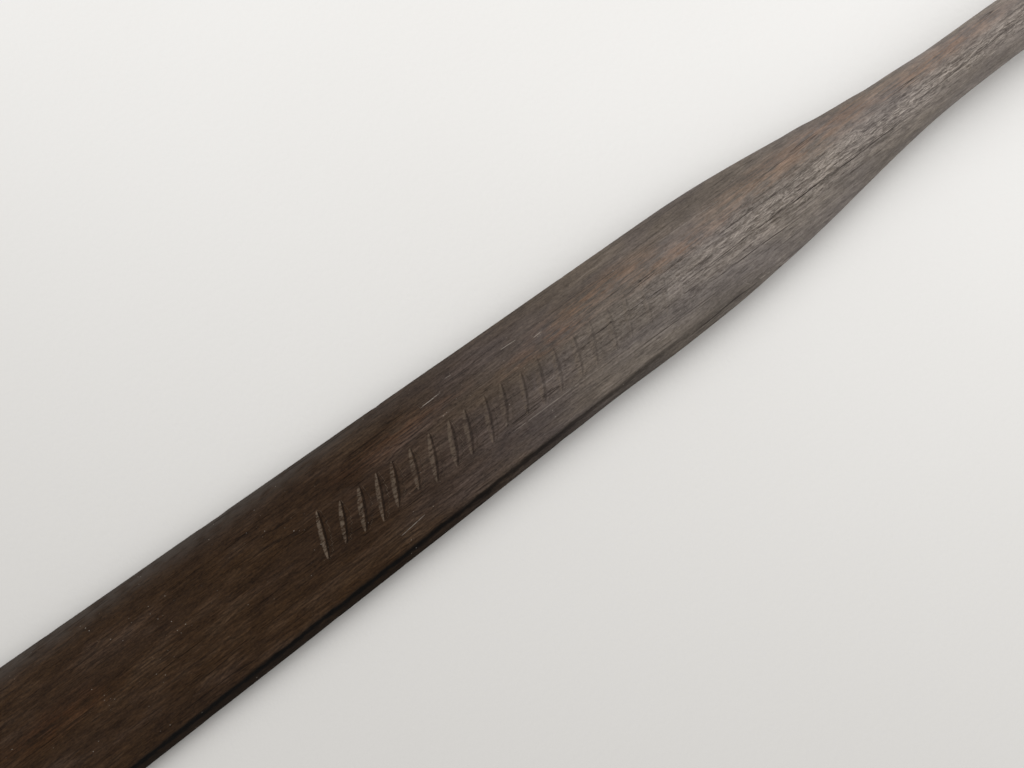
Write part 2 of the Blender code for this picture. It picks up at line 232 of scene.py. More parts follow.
def quarter_steps(rim, bevel, face):
    """Steps from the edge to the spine: up the rim, over the bevel and across the face."""
    return np.concatenate([
        np.linspace(0.0, RIM_STEP, rim, endpoint=False),
        np.linspace(RIM_STEP, ARRIS_STEP, bevel, endpoint=False),
        np.linspace(ARRIS_STEP, SPINE_STEP, face + 1),
    ])


class Ring:
    """The columns of points round a section: from the +y edge over the top face, and back under it."""

    def __init__(self, top, under):
        self.step = np.concatenate([top, top[-2::-1], under[1:], under[-2:0:-1]])
        counts = (len(top), len(top) - 1, len(under) - 1, len(under) - 2)
        self.side = np.repeat((1.0, -1.0, -1.0, 1.0), counts)
        self.face = np.repeat((1.0, 1.0, -1.0, -1.0), counts)

    def points(self, x, grow=0.0):
        """The rings at these x values, as an array of stations by columns by xyz."""
        x = np.asarray(x, float)[:, None]
        step = self.step[None, :]
        wide, deep, flat = half_width(x, grow), half_depth(x) + grow, flatness(x)
        arris = 1 - BEVEL_WIDTH / wide
        on_face = arris * (SPINE_STEP - step) / (SPINE_STEP - ARRIS_STEP)
        on_bevel = lerp(1.0, arris, unit(step - RIM_STEP))
        across = np.where(step < ARRIS_STEP, on_bevel, on_face)
        height = face_height(x, across, grow) * unit(step / RIM_STEP)
        angle = np.pi / 2 * step / SPINE_STEP
        y = wide * lerp(np.cos(angle), across, flat) * self.side
        z = lerp(deep * np.sin(angle), height, flat) * self.face
        return np.stack([np.broadcast_to(x, y.shape), y, z], axis=-1)


def blade_share(x):
    """0 on the loom, 1 on the blade."""
    return grown(x, NECK_X, BLADE_BEGINS)


def ring_normals(points):
    """Outward directions of a closed grid of rings."""
    round_ring = np.roll(points, -1, axis=1) - np.roll(points, 1, axis=1)
    along = np.gradient(points, axis=0)
    normal = np.cross(round_ring, along)
    return normal / np.maximum(np.linalg.norm(normal, axis=-1, keepdims=True), 1e-12)


# Meshes from arrays

def grid_faces(stations, columns, closed, first=0):
    """Quads of a grid of points, wrapped round its columns where it is closed."""
    across = columns if closed else columns - 1
    rows, cols = np.meshgrid(np.arange(stations - 1), np.arange(across), indexing="ij")
    following = (cols + 1) % columns
    quads = np.stack([rows * columns + cols, rows * columns + following,
                      (rows + 1) * columns + following, (rows + 1) * columns + cols], axis=-1)
    return quads.reshape(-1, 4) + first


def fan_faces(ring, centre):
    """Triangles from a ring of points to its centre."""
    return np.stack([np.roll(ring, -1), ring, np.full(len(ring), centre)], axis=-1)


def tube_arrays(points, cap_start=True, cap_end=True):
    """Points and faces of a grid of closed rings, with its ends closed by fans."""
    stations, columns = points.shape[:2]
    verts = [points.reshape(-1, 3)]
    faces = grid_faces(stations, columns, True).tolist()
    count = stations * columns
    for wanted, row, flip in ((cap_start, 0, 1), (cap_end, stations - 1, -1)):
        if wanted:
            verts.append(points[row].mean(axis=0)[None])
            ring = (np.arange(columns) + row * columns)[::flip]
            faces += fan_faces(ring, count).tolist()
            count += 1
    return np.concatenate(verts), faces


def sheet_arrays(outer, inner):
    """Points and faces of a thick sheet: two grids of the same size, joined all round their borders."""
    rows, columns = outer.shape[:2]
    verts = np.concatenate([outer.reshape(-1, 3), inner.reshape(-1, 3)])
    count = rows * columns
    outside = grid_faces(rows, columns, False)
    inside = grid_faces(rows, columns, False, count)[:, ::-1]
    index = np.arange(count).reshape(rows, columns)
    border = np.concatenate([index[0, :-1], index[:-1, -1], index[-1, :0:-1], index[:0:-1, 0]])
    following = np.roll(border, -1)
    edge = np.stack([following, border, border + count, following + count], axis=-1)
    return verts, np.concatenate([outside, inside, edge]).tolist()


def joined(parts):
    """One set of points and faces from several."""
    verts, faces, count = [], [], 0
    for part_verts, part_faces in parts:
        verts.append(part_verts)
        faces += [[corner + count for corner in face] for face in part_faces]
        count += len(part_verts)
    return np.concatenate(verts), faces


def seat_matrix():
    """Lays the oar's own axes on the frame, from the rowlock seat that the record gives."""
    seat = next(mount for mount in frame["record"]["mounts"] if mount["name"] == "rowlock_seat")
    along = Vector(seat["axis"]).normalized()
    across = Vector((0.0, 1.0, 0.0))
    square = along.cross(across)
    origin = Vector(seat["pos_m"]) - along * seat["dims"]["length_mm"] / 2000
    return Matrix.Translation(origin) @ Matrix((along, across, square)).transposed().to_4x4()


LAID = seat_matrix()
LIFTED = LAID.inverted()


def add_object(name, data):
    made = bpy.data.objects.new(name, data)
    bpy.context.scene.collection.objects.link(made)
    return made


def add_piece(name, arrays, material, nodes, marks=None, sharp=math.radians(50)):
    """A piece of the oar from points and faces along its axis, with marks as values on its points."""
    verts, faces = arrays
    mesh = bpy.data.meshes.new(name)
    mesh.from_pydata(verts.tolist(), [], faces)
    mesh.transform(LAID)
    mesh.shade_smooth()
    mesh.set_sharp_from_angle(angle=sharp)
    for mark, values in (marks or {}).items():
        attribute = mesh.attributes.new(mark, "FLOAT", "POINT")
        padded = np.zeros(len(verts), np.float32)
        padded[:values.size] = values.ravel()
        attribute.data.foreach_set("value", padded)
    mesh.materials.append(material)
    piece = add_object(name, mesh)
    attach(piece, "root")
    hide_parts(*nodes)
    return piece


# Materials from nodes

RIDGE_LOOK = 0.35           # how far to the side a ridge's slope is taken, in cells


class Finish:
    """A material of nodes. Most methods add nodes, fed by numbers, colours or outputs, and give an output."""

    def __init__(self, name):
        self.material = bpy.data.materials.new(name)
        self.material.use_nodes = True
        self.tree = self.material.node_tree
        self.shader = self.tree.nodes["Principled BSDF"]
        self.place = self.add("ShaderNodeTexCoord").outputs["Object"]
        self.place = self.add("ShaderNodeMapping", Vector=self.place, Location=LIFTED.to_translation(),
                              Rotation=LIFTED.to_euler()).outputs["Vector"]

    def feed(self, socket, value):
        if isinstance(value, bpy.types.NodeSocket):
            self.tree.links.new(value, socket)
        elif isinstance(value, tuple) and socket.type == "RGBA":
            socket.default_value = (*value, 1.0)
        else:
            socket.default_value = value

    def add(self, kind, settings=None, **inputs):
        node = self.tree.nodes.new(kind)
        for name, value in (settings or {}).items():
            setattr(node, name, value)
        for name, value in inputs.items():
            self.feed(node.inputs[name.replace("_", " ")], value)
        return node

    def set(self, **inputs):
        """Feeds the shader's own inputs."""
        for name, value in inputs.items():
            self.feed(self.shader.inputs[name.replace("_", " ")], value)

    def mark(self, name):
        return self.add("ShaderNodeAttribute", {"attribute_name": name}).outputs["Fac"]

    def line(self, name, solid, gone):
        """A thin line from its marks: solid to this many millimetres from its middle, gone at that many."""
        away = self.maths("ABSOLUTE", self.mark(f"{name}_away"))
        return self.product(self.spread(away, solid, gone, 1.0, 0.0), self.mark(f"{name}_here"))

    def bulge(self, value, middle, gone, solid=0.0):
        """1 where a value is near its middle, to 0 at this distance from it."""
        away = self.maths("ABSOLUTE", self.maths("SUBTRACT", value, middle))
        return self.spread(away, solid, gone, 1.0, 0.0)

    def band(self, name, middle, solid, gone):
        """A stretch of a mark's range, about its middle."""
        shown = self.bulge(self.mark(f"{name}_away"), middle, gone, solid)
        return self.product(shown, self.mark(f"{name}_here"))

    def stretched(self, scale, shift=(0.0, 0.0, 0.0)):
        """The place on the piece, in cells of this many per metre along x, y and z."""
        return self.add("ShaderNodeMapping", Vector=self.place, Location=shift, Scale=scale).outputs["Vector"]

    def noise(self, scale, detail=2.0, roughness=0.5, distortion=0.0, shift=(0.0, 0.0, 0.0)):
        return self.add("ShaderNodeTexNoise", Vector=self.stretched(scale, shift), Scale=1.0, Detail=detail,
                        Roughness=roughness, Distortion=distortion).outputs["Fac"]

    def grain(self, along, across, **settings):
        """Noise drawn out along the oar."""
        return self.noise((along, across, across), **settings)

    def ridges_with_lit_sides(self, along, across, detail, distortion, apart, steep):
        """The height of small ridges, and their sides for painted light and shade: 1 on the side painted lit,
        0 on the side painted shaded.
        """
        settings = {"detail": detail, "roughness": 0.6, "distortion": distortion}
        height = self.grain(along, across, shift=(0.0, apart, 0.0), **settings)
        beside = self.grain(along, across, shift=(0.0, apart + RIDGE_LOOK, 0.0), **settings)
        sides = self.total((beside, 1.0), (height, -1.0))
        return height, self.spread(sides, -steep, steep, ease="LINEAR")

    def cells(self, scale, feature="F1"):
        return self.add("ShaderNodeTexVoronoi", {"feature": feature}, Vector=self.stretched(scale),
                        Scale=1.0).outputs["Distance"]

    def spread(self, value, low, high, to_low=0.0, to_high=1.0, ease="SMOOTHSTEP"):
        """Takes low..high to to_low..to_high, clamped."""
        node = self.add("ShaderNodeMapRange", {"interpolation_type": ease}, Value=value)
        for name, number in (("From Min", low), ("From Max", high), ("To Min", to_low), ("To Max", to_high)):
            self.feed(node.inputs[name], number)
        return node.outputs["Result"]

    def maths(self, operation, *values):
        node = self.add("ShaderNodeMath", {"operation": operation})
        for socket, value in zip(node.inputs, values):
            self.feed(socket, value)
        return node.outputs["Value"]

    def product(self, *values):
        total = values[0]
        for value in values[1:]:
            total = self.maths("MULTIPLY", total, value)
        return total

    def total(self, *weighted):
        """Sum of (value, weight) pairs."""
        total = self.maths("MULTIPLY", *weighted[0])
        for value, weight in weighted[1:]:
            total = self.maths("MULTIPLY_ADD", value, weight, total)
        return total

    def mix(self, share, a, b, blend="MIX"):
        node = self.add("ShaderNodeMix", {"data_type": "RGBA", "blend_type": blend})
        for socket, value in ((node.inputs[0], share), (node.inputs[6], a), (node.inputs[7], b)):
            self.feed(socket, value)
        return node.outputs[2]

    def tint(self, share, colour, tint):
        """The colour multiplied by a tint."""
        return self.mix(share, colour, tint, "MULTIPLY")

    def bump(self, height, distance):
        node = self.add("ShaderNodeBump", Height=height, Distance=distance)
        self.set(Normal=node.outputs["Normal"])


# Colours of the wood. A pair runs from dark to pale, and a tint multiplies the colour under it
STAIN = (0.0125, 0.0060, 0.0025), (0.0450, 0.0250, 0.0118)
# Grey bare wood, painted paler than it is towards the neck to stand in for sheen
BARE_WOOD_AND_SHEEN = (0.108, 0.093, 0.082), (0.272, 0.243, 0.218)
STAIN_TINTS = (1.07, 0.985, 0.885), (1.00, 0.965, 1.06)
PATCH_TINTS = (0.86, 0.86, 0.87), (1.13, 1.13, 1.12)
# Painted shade and painted light for the two sides of furrows and ripples
FURROW_LIGHT_AND_SHADE = (0.68, 0.67, 0.66), (1.36, 1.35, 1.34)
WAVELET_LIGHT_AND_SHADE = (0.66, 0.65, 0.64), (1.38, 1.37, 1.36)
WARM_TINT = (1.18, 0.96, 0.83)
BLEACH_TINT = (1.12, 1.11, 1.09)
EMBER = (0.225, 0.140, 0.090)
PALE_LINE = (0.290, 0.252, 0.228)
# Painted highlight: the colour of the glints beside the spine
GLINT_PAINT = (0.385, 0.341, 0.306)
# Painted shade: the colour of the valleys between the glints
VALLEY_SHADE = (0.070, 0.056, 0.047)
# Painted shade on the bevels that face away from the key light, and on the underside
BEVEL_SHADE = (0.0065, 0.0042, 0.0028)
# Painted shade: a near-black line at the inner edge of the shaded bevel
ARRIS_SHADE = (0.0012, 0.0008, 0.0006)
# Painted sheen: paler grey along the upper edge that faces the key light
EDGE_SHEEN = (0.056, 0.046, 0.039)
# Dark of cracks, also used as painted shade on the cuts' steep walls
CRACK_AND_CUT_SHADE = (0.0055, 0.0036, 0.0026)
# Pale of the cuts' shallow walls: partly pale cut wood, partly painted light
PALE_AND_LIT_CUT = (0.165, 0.126, 0.092)
SCRATCH = (0.300, 0.262, 0.225)
# Painted highlights: the colour of tiny glints
GLINT_SPECK = (0.300, 0.270, 0.235)
HANDLED = (0.052, 0.028, 0.014)


def wood_finish():
    """Dark stain worn to grey towards the neck, painted paler there as sheen: lines and dashes of grain,
    checks, warm patches, painted glints, and painted light and shade on ridges, bevels and cuts.
    """
    wood = Finish("weathered_wood")
    mix, tint, spread, product = wood.mix, wood.tint, wood.spread, wood.product
    wear_and_sheen, warm, glint = wood.mark("wear_and_sheen"), wood.mark("warm"), wood.mark("glint")
    polish, bevel_shade_here = wood.mark("polish"), wood.mark("bevel_shade_here")
    lines = wood.grain(24.0, 720.0, detail=3.0, roughness=0.62)
    dashes = wood.grain(190.0, 950.0, roughness=0.6)
    lumps = wood.grain(60.0, 170.0, detail=3.0, roughness=0.55, shift=(0.0, 2.0, 0.0))
    bands = wood.grain(3.5, 160.0, detail=3.0, roughness=0.55)
    # Ripples and furrows: their height, and their sides for painted light and shade
    ripples, wavelet_lit_sides = wood.ridges_with_lit_sides(105.0, 480.0, 2.0, 0.9, 5.0, 0.13)
    furrows, furrow_lit_sides = wood.ridges_with_lit_sides(32.0, 230.0, 3.0, 0.7, 11.0, 0.11)
    ridges = wood.grain(40.0, 330.0, distortion=0.4, shift=(0.0, 0.0, 4.0))
    ridges = spread(ridges, 0.54, 0.66)
    grit = wood.grain(430.0, 640.0, roughness=0.65)
    blotches = wood.grain(14.0, 45.0, detail=4.0, roughness=0.6)
    hues = wood.grain(9.0, 30.0, detail=3.0, shift=(3.0, 0.0, 0.0))
    veins = wood.grain(3.2, 105.0, shift=(9.0, 0.0, 0.0))

    # The stain, and the bare grey wood where it has worn away, painted paler towards the neck as sheen too
    dark_tone = wood.total((dashes, 0.24), (lines, 0.18), (grit, 0.2), (lumps, 0.18), (blotches, 0.2))
    stained = mix(spread(dark_tone, 0.4, 0.6, ease="LINEAR"), *STAIN)
    grey_tone = wood.total((lines, 0.24), (dashes, 0.28), (grit, 0.26), (ripples, 0.12), (bands, 0.1))
    grey_tone = spread(grey_tone, 0.39, 0.61, ease="LINEAR")
    calmed = wood.maths("SUBTRACT", 0.5, grey_tone)
    grey_tone = wood.maths("MULTIPLY_ADD", calmed, product(wood.mark("calm"), 0.4), grey_tone)
    greying_and_sheen = wood.total((wear_and_sheen, 1.0), (blotches, 0.3))
    greying_and_sheen = spread(greying_and_sheen, 0.15, 1.15, ease="LINEAR")
    colour = mix(greying_and_sheen, stained, mix(grey_tone, *BARE_WOOD_AND_SHEEN))
    cast = mix(spread(hues, 0.34, 0.66), *STAIN_TINTS)
    colour = tint(spread(wear_and_sheen, 0.0, 0.9, 0.9, 0.35), colour, cast)

    # Warm places, pale lines, the bleached start of the loom, and soft patches
    warmed = spread(wood.total((lines, 0.6), (lumps, 0.4)), 0.4, 0.58)
    colour = tint(product(warm, warmed), colour, WARM_TINT)
    embers = product(warm, spread(lines, 0.54, 0.68), spread(wear_and_sheen, 0.0, 0.6, 0.08, 0.34))
    colour = mix(embers, colour, EMBER)
    pale_lines = product(spread(lines, 0.58, 0.72), spread(blotches, 0.4, 0.62), 0.5)
    colour = mix(product(wear_and_sheen, pale_lines), colour, PALE_LINE)
    colour = tint(wood.mark("bleached"), colour, BLEACH_TINT)
    patches = spread(wood.total((lumps, 0.6), (blotches, 0.4)), 0.4, 0.6)
    colour = tint(wear_and_sheen, colour, mix(patches, *PATCH_TINTS))

    # Painted glints beside the spine, with painted shade in the valleys, and painted light and shade on the
    # two sides of furrows and ripples
    # Painted glints: pale crests and a painted sheen where the glint mark is set
    crests = product(wood.bulge(ripples, 0.5, 0.1, 0.015), 0.75)
    crests = product(crests, spread(lumps, 0.4, 0.54, 0.05, 1.0))
    sheen = spread(wood.total((ripples, 0.45), (lines, 0.55)), 0.46, 0.6, 0.0, 0.62)
    painted_glint = product(glint, wood.maths("MAXIMUM", crests, sheen))
    colour = mix(painted_glint, colour, GLINT_PAINT)
    # Painted shade in the valleys between the glints
    valley_shade = spread(wood.total((lines, 0.6), (ripples, 0.4)), 0.36, 0.45, 0.22, 0.0)
    colour = mix(product(glint, valley_shade), colour, VALLEY_SHADE)
    # Painted light and shade on the sides of furrows, and of the wavelets in the glints
    furrow_light_share = spread(blotches, 0.42, 0.62, 0.1, 0.95)
    furrow_light_share = product(furrow_light_share, spread(wear_and_sheen, 0.0, 0.5, 1.0, 0.35))
    colour = tint(furrow_light_share, colour, mix(furrow_lit_sides, *FURROW_LIGHT_AND_SHADE))
    colour = tint(glint, colour, mix(wavelet_lit_sides, *WAVELET_LIGHT_AND_SHADE))

    # Painted shade on the bevels that face away from the key light and under the blade, in a ragged line, and
    # a painted sheen along the lit edge
    ragged = wood.maths("MULTIPLY_ADD", lumps, 3.0, wood.mark("bevel_away"))
    ragged = wood.maths("MULTIPLY_ADD", dashes, 3.0, ragged)
    # Painted shade over the shaded bevels
    bevel_shade = product(spread(ragged, 1.6, 5.2, 0.0, 0.78), bevel_shade_here)
    colour = mix(bevel_shade, colour, BEVEL_SHADE)
    # A painted shadow line along the arris of the shaded bevel
    arris_shade = product(wood.bulge(ragged, 5.6, 2.7, 0.5), spread(bevel_shade_here, 0.15, 1.0))
    colour = mix(arris_shade, colour, ARRIS_SHADE)
    # Painted sheen along the lit upper edge
    edge_sheen = product(wood.mark("lit_edge_sheen"), spread(lumps, 0.3, 0.6, 0.45, 0.95))
    colour = mix(edge_sheen, colour, EDGE_SHEEN)

    # Grooves, checks, painted shade on the cuts' steep walls and pale, partly painted-lit shallow walls,
    # scratches, painted glints as specks, and the grip darkened by hands
    dark = wood.maths("MULTIPLY_ADD", glint, 0.12, 0.12)
    dark = product(dark, spread(lines, 0.3, 0.42, 1.0, 0.0))
    stretches = spread(wood.grain(9.0, 60.0, shift=(0.0, 0.0, 7.0)), 0.5, 0.62)
    fine_checks = product(wood.bulge(veins, 0.5, 0.012), stretches, 0.6)
    checks = product(wood.line("check", 0.05, 0.55), spread(lumps, 0.36, 0.54, 0.1, 0.9))
    # Painted shade on the steep wall of each cut
    cut_wall_shade = product(wood.band("cut", CUT_STEEP, 0.16, 0.42), 0.9)
    # Dark of grooves and cracks, with the painted shade of the cuts' steep walls
    for dark_mark in (fine_checks, checks, cut_wall_shade):
        dark = wood.maths("MAXIMUM", dark, dark_mark)
    colour = mix(dark, colour, CRACK_AND_CUT_SHADE)
    # The shallow wall of each cut painted pale: partly pale cut wood, partly painted light
    pale_lit_cut_walls = wood.band("cut", CUT_SHALLOW, 0.3, 0.72)
    pale_lit_cut_walls = product(pale_lit_cut_walls, spread(ripples, 0.38, 0.6, 0.1, 1.0))
    colour = mix(pale_lit_cut_walls, colour, PALE_AND_LIT_CUT)
    scratches = product(wood.line("scratch", 0.1, 0.55), spread(dashes, 0.36, 0.5))
    colour = mix(scratches, colour, SCRATCH)
    # Tiny painted glints scattered over the wood
    glint_specks = spread(wood.cells((190.0, 260.0, 260.0)), 0.06, 0.11, 0.85, 0.0)
    scattered = spread(wood.grain(40.0, 40.0), 0.5, 0.62)
    glint_specks = product(glint_specks, spread(grit, 0.46, 0.58), scattered)
    colour = mix(glint_specks, colour, GLINT_SPECK)
    colour = mix(product(polish, 0.55), colour, HANDLED)

    rough = wood.total((dashes, 0.3), (blotches, 0.1), (glint, -0.1), (polish, -0.16))
    rough = wood.maths("ADD", rough, 0.38)
    height = wood.total((grit, 0.14), (dashes, 0.08), (lines, 0.14), (lumps, 0.4), (ridges, 0.1),
                        (dark, -0.25), (furrows, 0.25))
    height = wood.maths("MULTIPLY_ADD", ripples, wood.maths("MULTIPLY_ADD", glint, 0.4, 0.14), height)
    wood.bump(height, 0.004)
    wood.set(Base_Color=colour, Roughness=rough, Specular_IOR_Level=0.07)
    return wood.material


def leather_finish(name, dark, worn):
    """Oiled leather: pebbled grain, creases, darker grease and paler rubbed places."""
    hide = Finish(name)
    rub, edge = hide.mark("rub"), hide.mark("edge")
    pebbles = hide.cells((900.0, 900.0, 900.0), "SMOOTH_F1")
    creases = hide.noise((60.0, 210.0, 210.0), detail=4.0, distortion=0.6)
    grease = hide.noise((22.0, 30.0, 30.0), detail=4.0)
    colour = hide.mix(hide.spread(grease, 0.35, 0.68), dark, worn)
    colour = hide.mix(hide.spread(creases, 0.6, 0.74, 0.0, 0.55), colour, tuple(0.35 * c for c in dark))
    scuffs = hide.product(rub, hide.spread(creases, 0.3, 0.52))
    colour = hide.mix(scuffs, colour, tuple(min(1.9 * c + 0.02, 1.0) for c in worn))
    colour = hide.mix(hide.product(edge, 0.75), colour, (0.15, 0.088, 0.05))
    rough = hide.total((grease, 0.35), (pebbles, 0.18), (rub, -0.12))
    rough = hide.maths("ADD", rough, 0.3)
    height = hide.total((pebbles, 0.5), (creases, -0.9))
    hide.bump(height, 0.0007)
    hide.set(Base_Color=colour, Roughness=rough, Specular_IOR_Level=0.35)
    return hide.material


def copper_finish(name, bright, brown, green_share):
    """Aged copper: brown patina rubbed bright on the high places, with verdigris in the corners."""
    metal = Finish(name)
    rub, nook = metal.mark("rub"), metal.mark("nook")
    cloud = metal.noise((70.0, 70.0, 70.0), detail=5.0)
    bloom = metal.noise((260.0, 260.0, 260.0), detail=3.0)
    brushed = metal.noise((120.0, 1500.0, 1500.0), detail=2.0)
    patina = metal.spread(metal.total((cloud, 0.62), (bloom, 0.38), (rub, -0.3)), 0.28, 0.6)
    colour = metal.mix(patina, bright, brown)
    green = metal.maths("ADD", metal.product(nook, 0.9), green_share)
    green = metal.product(green, metal.spread(bloom, 0.44, 0.66))
    colour = metal.mix(green, colour, (0.105, 0.235, 0.19))
    rough = metal.total((patina, 0.22), (brushed, 0.16), (green, 0.3))
    rough = metal.maths("ADD", rough, 0.2)
    metallic = metal.spread(green, 0.1, 0.75, 1.0, 0.15)
    height = metal.total((cloud, 0.6), (brushed, 0.15), (green, 0.5))
    metal.bump(height, 0.0005)
    metal.set(Base_Color=colour, Roughness=rough, Metallic=metallic)
    return metal.material


def floor_finish():
    """Pale matt paint with the faintest clouding, and painted shade that deepens towards the bottom of the
    picture.
    """
    paint = Finish("pale_floor")
    cloud = paint.noise((1.6, 1.6, 1.6), detail=4.0)
    grain = paint.noise((180.0, 180.0, 180.0), detail=2.0)
    pale = paint.mix(paint.spread(cloud, 0.3, 0.7), *FLOOR_PALE)
    down = paint.add("ShaderNodeVectorMath", {"operation": "DOT_PRODUCT"}).inputs
    paint.feed(down[0], paint.add("ShaderNodeTexCoord").outputs["Object"])
    down[1].default_value = FLOOR_SHADE_TOWARDS
    middle = FLOOR_SHADE_TOWARDS[0] * CAMERA_AIM[0] + FLOOR_SHADE_TOWARDS[1] * CAMERA_AIM[1]
    # Painted shade, deepening towards the bottom of the picture
    deeper = paint.spread(down[0].node.outputs["Value"], middle - FLOOR_SHADE_SPREAD, middle + FLOOR_SHADE_SPREAD)
    colour = paint.mix(deeper, pale, FLOOR_SHADE_COLOUR)
    paint.bump(grain, 0.0003)
    rough = paint.spread(grain, 0.0, 1.0, 0.75, 0.95)
    paint.set(Base_Color=colour, Roughness=rough, Specular_IOR_Level=0.2)
    return paint.material


# The timber

SEED = 7
VIEW_RUN = (0.930, 2.070)           # looked at closely
CARVED_RUN = (1.325, 1.755)
GRIP_STEPS = (0.004, 0.005)         # between rings: the first on the grip, and the rest
RING_STEPS = (0.0125, 0.0034, 0.0016, 0.0034, 0.006)        # from the loom to the tip
TIMBER_RING = Ring(quarter_steps(2, 6, 44), quarter_steps(2, 4, 14))


def timber_stations():
    """x values of the timber's rings, closest where it is carved and where it is looked at closely."""
    from_end = np.linspace(0.0, np.pi / 2, 7)
    grip = GRIP_LENGTH + GRIP_SHOULDER
    ends = (grip - INBOARD, VIEW_RUN[0], *CARVED_RUN, VIEW_RUN[1], OUTBOARD - TIP_CORNER)
    runs = [
        GRIP_END_ROUND * (1 - np.cos(from_end)) - INBOARD,
        np.arange(GRIP_END_ROUND + GRIP_STEPS[0], grip, GRIP_STEPS[1]) - INBOARD,
        *(np.arange(start, stop, step) for start, stop, step in zip(ends, ends[1:], RING_STEPS)),
        OUTBOARD - TIP_CORNER + TIP_CORNER * np.sin(from_end),
    ]
    return np.concatenate(runs)


# Corners that handling softens: step, reach in steps, and how strongly
EASED_CORNERS = ((RIM_STEP, 0.5, 1.0), (ARRIS_STEP, 0.35, 0.7))


def ease_arrises(points, ring, rounds):
    """Softens the corners at the rim and the bevel, as handling does."""
    near = sum(share * np.exp(-((ring.step - step) / reach) ** 2) for step, reach, share in EASED_CORNERS)
    share = unit(near)[None, :, None] * 0.5
    for _ in range(rounds):
        beside = (np.roll(points, 1, axis=1) + np.roll(points, -1, axis=1)) / 2
        points = lerp(points, beside, share)
    return points


# Drying checks on the upper face: x and y of both ends, and strength
CHECKS = (
    (1.345, 0.0140, 1.110, 0.0140, 1.0),
    (1.345, 0.0264, 1.240, 0.0275, 0.8),
    (1.335, -0.0025, 1.205, -0.0012, 0.6),
    (1.110, 0.0070, 0.930, 0.0050, 0.6),
    (1.450, 0.0360, 1.330, 0.0362, 0.5),
    (1.950, 0.0158, 1.840, 0.0120, 0.7),
    (1.900, 0.0350, 1.770, 0.0340, 0.6),
    (2.070, 0.0050, 1.960, 0.0040, 0.6),
)

# Pale scratches on the upper face, in the same form
SCRATCHES = (
    (1.586, -0.0358, 1.609, -0.0350, 1.0),
    (1.506, -0.0338, 1.525, -0.0349, 0.8),
    (1.485, -0.0263, 1.496, -0.0260, 0.9),
    (1.570, -0.0427, 1.578, -0.0438, 0.8),
    (1.657, 0.0400, 1.684, 0.0426, 0.6),
    (1.292, 0.0497, 1.305, 0.0494, 1.0),
    (1.314, 0.0490, 1.319, 0.0440, 0.9),
    (1.460, 0.0290, 1.560, 0.0285, 0.5),
    (1.272, -0.0259, 1.360, -0.0290, 0.5),
    (1.096, -0.0060, 1.136, -0.0100, 0.6),
)
LINE_WINDOW = 0.004         # how far from a line its marks reach

# Places where the stain has worn to warm brown: x, y, and reach along both
WARM_PATCHES = (
    (1.207, -0.0196, 0.170, 0.020),
    (1.424, -0.0251, 0.110, 0.016),
    (1.485, -0.0157, 0.080, 0.014),
    (1.060, -0.0130, 0.130, 0.014),
    (1.991, -0.0035, 0.080, 0.018),
    (1.340, -0.0120, 0.120, 0.012),
    (1.640, -0.0280, 0.100, 0.014),
)

# The carved band: a row of leaning leaf cuts, like a rope's lay. Across a cut, -1 and 1 are its two edges
CUTS = 22
CUT_RUN = (1.345, 1.735)
CUT_Y = (0.0100, 0.0040)
CUT_LENGTH = 0.042
CUT_WIDTH = 0.0070
CUT_LEAN = math.radians(26)
CUT_UNEVEN = (math.radians(2.5), 0.001, 0.0008, 0.05, 0.1, 0.15)     # lean, x, y, length, width and depth
CUT_DEPTH = (0.0007, 0.0018)
CUT_PALE = (0.06, 0.70)
CUT_VALLEY = -0.35
# Across a cut: where painted shade lies on the steep wall, and painted light on the shallow wall
CUT_STEEP = -0.72
CUT_SHALLOW = 0.30
CUT_WINDOW = 2.2


def carve_band(x, y, top, draw):
    """Depth of the carved band, the place across the nearest cut, and how strongly that cut shows."""
    depth, away, here = np.zeros_like(x), np.full_like(x, CUT_WINDOW), np.zeros_like(x)
    for share in np.linspace(0.0, 1.0, CUTS):
        turned, stray_x, stray_y, longer, wider, deeper = draw.normal(0.0, CUT_UNEVEN)
        lean = CUT_LEAN + turned
        centre_x = lerp(*CUT_RUN, share) + stray_x
        centre_y = lerp(*CUT_Y, share) + stray_y
        length = CUT_LENGTH / 2 * (1 + longer)
        width = CUT_WIDTH / 2 * (1 + wider)
        deepest = lerp(*CUT_DEPTH, share) * (1 + deeper)
        along = ((x - centre_x) * math.sin(lean) + (y - centre_y) * math.cos(lean)) / length
        beside = (x - centre_x) * math.cos(lean) - (y - centre_y) * math.sin(lean)
        leaf = unit(1 - along ** 2)
        across = beside / np.maximum(width * leaf ** 0.6, 1e-6)
        steep = (across + 1) / (1 + CUT_VALLEY)
        shallow = (1 - across) / (1 - CUT_VALLEY)
        inside = unit(np.minimum(steep, shallow)) * (leaf > 0) * top
        depth = np.maximum(depth, deepest * inside * leaf ** 0.4)
        nearest = (np.abs(across) < np.abs(away)) & (leaf > 0)
        away = np.where(nearest, across, away)
        here = np.where(nearest, lerp(*CUT_PALE, share) * smooth(leaf / 0.2) * top, here)
    return depth, {"cut_away": away, "cut_here": here}


def line_marks(name, lines, x, y, top, wander):
    """Millimetres across the face to the nearest of these lines, and how strongly that line shows."""
    away, here = np.full_like(x, LINE_WINDOW), np.zeros_like(x)
    for x0, y0, x1, y1, strength in lines:
        t = (x - x0) / (x1 - x0)
        off = y - lerp(y0, y1, t) - wander
        taper = unit(t * (1 - t) * 4) ** 0.5 * ((t > 0) & (t < 1))
        near = strength * taper * smooth(2 - 2 * np.abs(off) / LINE_WINDOW) * top
        away = np.where(near > here, off, away)
        here = np.maximum(here, near)
    return {f"{name}_away": away * 1000, f"{name}_here": here}


